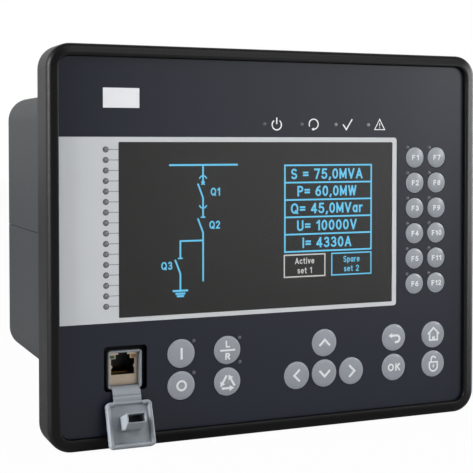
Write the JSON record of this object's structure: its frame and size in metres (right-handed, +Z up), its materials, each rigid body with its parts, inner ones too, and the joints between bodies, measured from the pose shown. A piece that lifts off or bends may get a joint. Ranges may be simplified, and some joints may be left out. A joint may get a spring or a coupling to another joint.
{
  "type": "protection relay",
  "caption": "Panel-mounted protection relay: wide bezel with a screen, round keys, lamps and a covered network port, on a rounded card case with rear terminals.",
  "frame": {"origin": "middle of the bezel's rear face, in the plane of the panel it is mounted on", "axes": "+Y from the panel into the cabinet, so the front looks along -Y; +X to the right seen from the front; +Z up"},
  "size_m": [0.2414, 0.2166, 0.1976],
  "materials": {
    "bezel": "fine moulded",
    "overlay": "printed film, satin",
    "window": "clear, antiglare",
    "display": "dark screen",
    "board": "solder mask",
    "switch": "moulded",
    "lamp": "clear lens",
    "key": "satin moulded",
    "shield": "tinned",
    "insert": "moulded",
    "gold": "gold plated",
    "port_rubber": "soft moulded grey",
    "frame": "powder coated",
    "gasket": "foam",
    "case": "powder coated grey",
    "rail": "extruded",
    "core": "wound",
    "relay": "moulded",
    "end_plate": "satin",
    "screw": "zinc plated",
    "terminal": "moulded",
    "plug": "moulded green",
    "stud": "plain"
  },
  "bodies": {
    "relay": {"front_bezel": "bezel", "front_overlay": "overlay", "display_window": "window", "display_module": "display", "front_board": "board", "key_switches": "switch", "alarm_lamps": "lamp", "status_lamps": "lamp", "key_lamps": "lamp", "front_screws": "screw", "jack_shield": "shield", "jack_insert": "insert", "jack_contacts": "gold", "jack_lamps": "lamp", "port_board": "board", "port_frame": "port_rubber", "mounting_frame": "frame", "panel_gasket": "gasket", "upper_case": "case", "lower_case": "case", "card_rails": "rail", "backplane": "board", "circuit_cards": "board", "card_transformers": "core", "output_relays": "relay", "end_plates": "end_plate", "module_screws": "screw", "current_terminals": "terminal", "voltage_terminals": "terminal", "terminal_screws": "screw", "plug_headers": "plug", "terminal_plugs": "plug", "rear_jack": "shield", "earth_stud": "stud"},
    "cover": {"port_cover": "port_rubber"},
    "f1_button": {"f1_key": "key"},
    "f2_button": {"f2_key": "key"},
    "f3_button": {"f3_key": "key"},
    "f4_button": {"f4_key": "key"},
    "f5_button": {"f5_key": "key"},
    "f6_button": {"f6_key": "key"},
    "f7_button": {"f7_key": "key"},
    "f8_button": {"f8_key": "key"},
    "f9_button": {"f9_key": "key"},
    "f10_button": {"f10_key": "key"},
    "f11_button": {"f11_key": "key"},
    "f12_button": {"f12_key": "key"},
    "close_button": {"close_key": "key"},
    "open_button": {"open_key": "key"},
    "control_place_button": {"control_place_key": "key"},
    "cycle_button": {"cycle_key": "key"},
    "up_button": {"up_key": "key"},
    "down_button": {"down_key": "key"},
    "left_button": {"left_key": "key"},
    "right_button": {"right_key": "key"},
    "back_button": {"back_key": "key"},
    "ok_button": {"ok_key": "key"},
    "home_button": {"home_key": "key"},
    "lock_button": {"lock_key": "key"}
  },
  "joints": [
    {"name": "cover_hinge", "type": "hinge", "parent": "relay", "child": "cover", "pos_m": [-0.08125, -0.0192, -0.07325], "axis": [-1, 0, 0], "range_deg": [0, 159]},
    {"name": "f1_press", "type": "slide", "parent": "relay", "child": "f1_button", "axis": [0, 1, 0], "range_m": [0, 0.0006], "stiffness_N_per_m": 1000},
    {"name": "f2_press", "type": "slide", "parent": "relay", "child": "f2_button", "axis": [0, 1, 0], "range_m": [0, 0.0006], "stiffness_N_per_m": 1000},
    {"name": "f3_press", "type": "slide", "parent": "relay", "child": "f3_button", "axis": [0, 1, 0], "range_m": [0, 0.0006], "stiffness_N_per_m": 1000},
    {"name": "f4_press", "type": "slide", "parent": "relay", "child": "f4_button", "axis": [0, 1, 0], "range_m": [0, 0.0006], "stiffness_N_per_m": 1000},
    {"name": "f5_press", "type": "slide", "parent": "relay", "child": "f5_button", "axis": [0, 1, 0], "range_m": [0, 0.0006], "stiffness_N_per_m": 1000},
    {"name": "f6_press", "type": "slide", "parent": "relay", "child": "f6_button", "axis": [0, 1, 0], "range_m": [0, 0.0006], "stiffness_N_per_m": 1000},
    {"name": "f7_press", "type": "slide", "parent": "relay", "child": "f7_button", "axis": [0, 1, 0], "range_m": [0, 0.0006], "stiffness_N_per_m": 1000},
    {"name": "f8_press", "type": "slide", "parent": "relay", "child": "f8_button", "axis": [0, 1, 0], "range_m": [0, 0.0006], "stiffness_N_per_m": 1000},
    {"name": "f9_press", "type": "slide", "parent": "relay", "child": "f9_button", "axis": [0, 1, 0], "range_m": [0, 0.0006], "stiffness_N_per_m": 1000},
    {"name": "f10_press", "type": "slide", "parent": "relay", "child": "f10_button", "axis": [0, 1, 0], "range_m": [0, 0.0006], "stiffness_N_per_m": 1000},
    {"name": "f11_press", "type": "slide", "parent": "relay", "child": "f11_button", "axis": [0, 1, 0], "range_m": [0, 0.0006], "stiffness_N_per_m": 1000},
    {"name": "f12_press", "type": "slide", "parent": "relay", "child": "f12_button", "axis": [0, 1, 0], "range_m": [0, 0.0006], "stiffness_N_per_m": 1000},
    {"name": "close_press", "type": "slide", "parent": "relay", "child": "close_button", "axis": [0, 1, 0], "range_m": [0, 0.0006], "stiffness_N_per_m": 1000},
    {"name": "open_press", "type": "slide", "parent": "relay", "child": "open_button", "axis": [0, 1, 0], "range_m": [0, 0.0006], "stiffness_N_per_m": 1000},
    {"name": "control_place_press", "type": "slide", "parent": "relay", "child": "control_place_button", "axis": [0, 1, 0], "range_m": [0, 0.0006], "stiffness_N_per_m": 1000},
    {"name": "cycle_press", "type": "slide", "parent": "relay", "child": "cycle_button", "axis": [0, 1, 0], "range_m": [0, 0.0006], "stiffness_N_per_m": 1000},
    {"name": "up_press", "type": "slide", "parent": "relay", "child": "up_button", "axis": [0, 1, 0], "range_m": [0, 0.0006], "stiffness_N_per_m": 1000},
    {"name": "down_press", "type": "slide", "parent": "relay", "child": "down_button", "axis": [0, 1, 0], "range_m": [0, 0.0006], "stiffness_N_per_m": 1000},
    {"name": "left_press", "type": "slide", "parent": "relay", "child": "left_button", "axis": [0, 1, 0], "range_m": [0, 0.0006], "stiffness_N_per_m": 1000},
    {"name": "right_press", "type": "slide", "parent": "relay", "child": "right_button", "axis": [0, 1, 0], "range_m": [0, 0.0006], "stiffness_N_per_m": 1000},
    {"name": "back_press", "type": "slide", "parent": "relay", "child": "back_button", "axis": [0, 1, 0], "range_m": [0, 0.0006], "stiffness_N_per_m": 1000},
    {"name": "ok_press", "type": "slide", "parent": "relay", "child": "ok_button", "axis": [0, 1, 0], "range_m": [0, 0.0006], "stiffness_N_per_m": 1000},
    {"name": "home_press", "type": "slide", "parent": "relay", "child": "home_button", "axis": [0, 1, 0], "range_m": [0, 0.0006], "stiffness_N_per_m": 1000},
    {"name": "lock_press", "type": "slide", "parent": "relay", "child": "lock_button", "axis": [0, 1, 0], "range_m": [0, 0.0006], "stiffness_N_per_m": 1000}
  ]
}
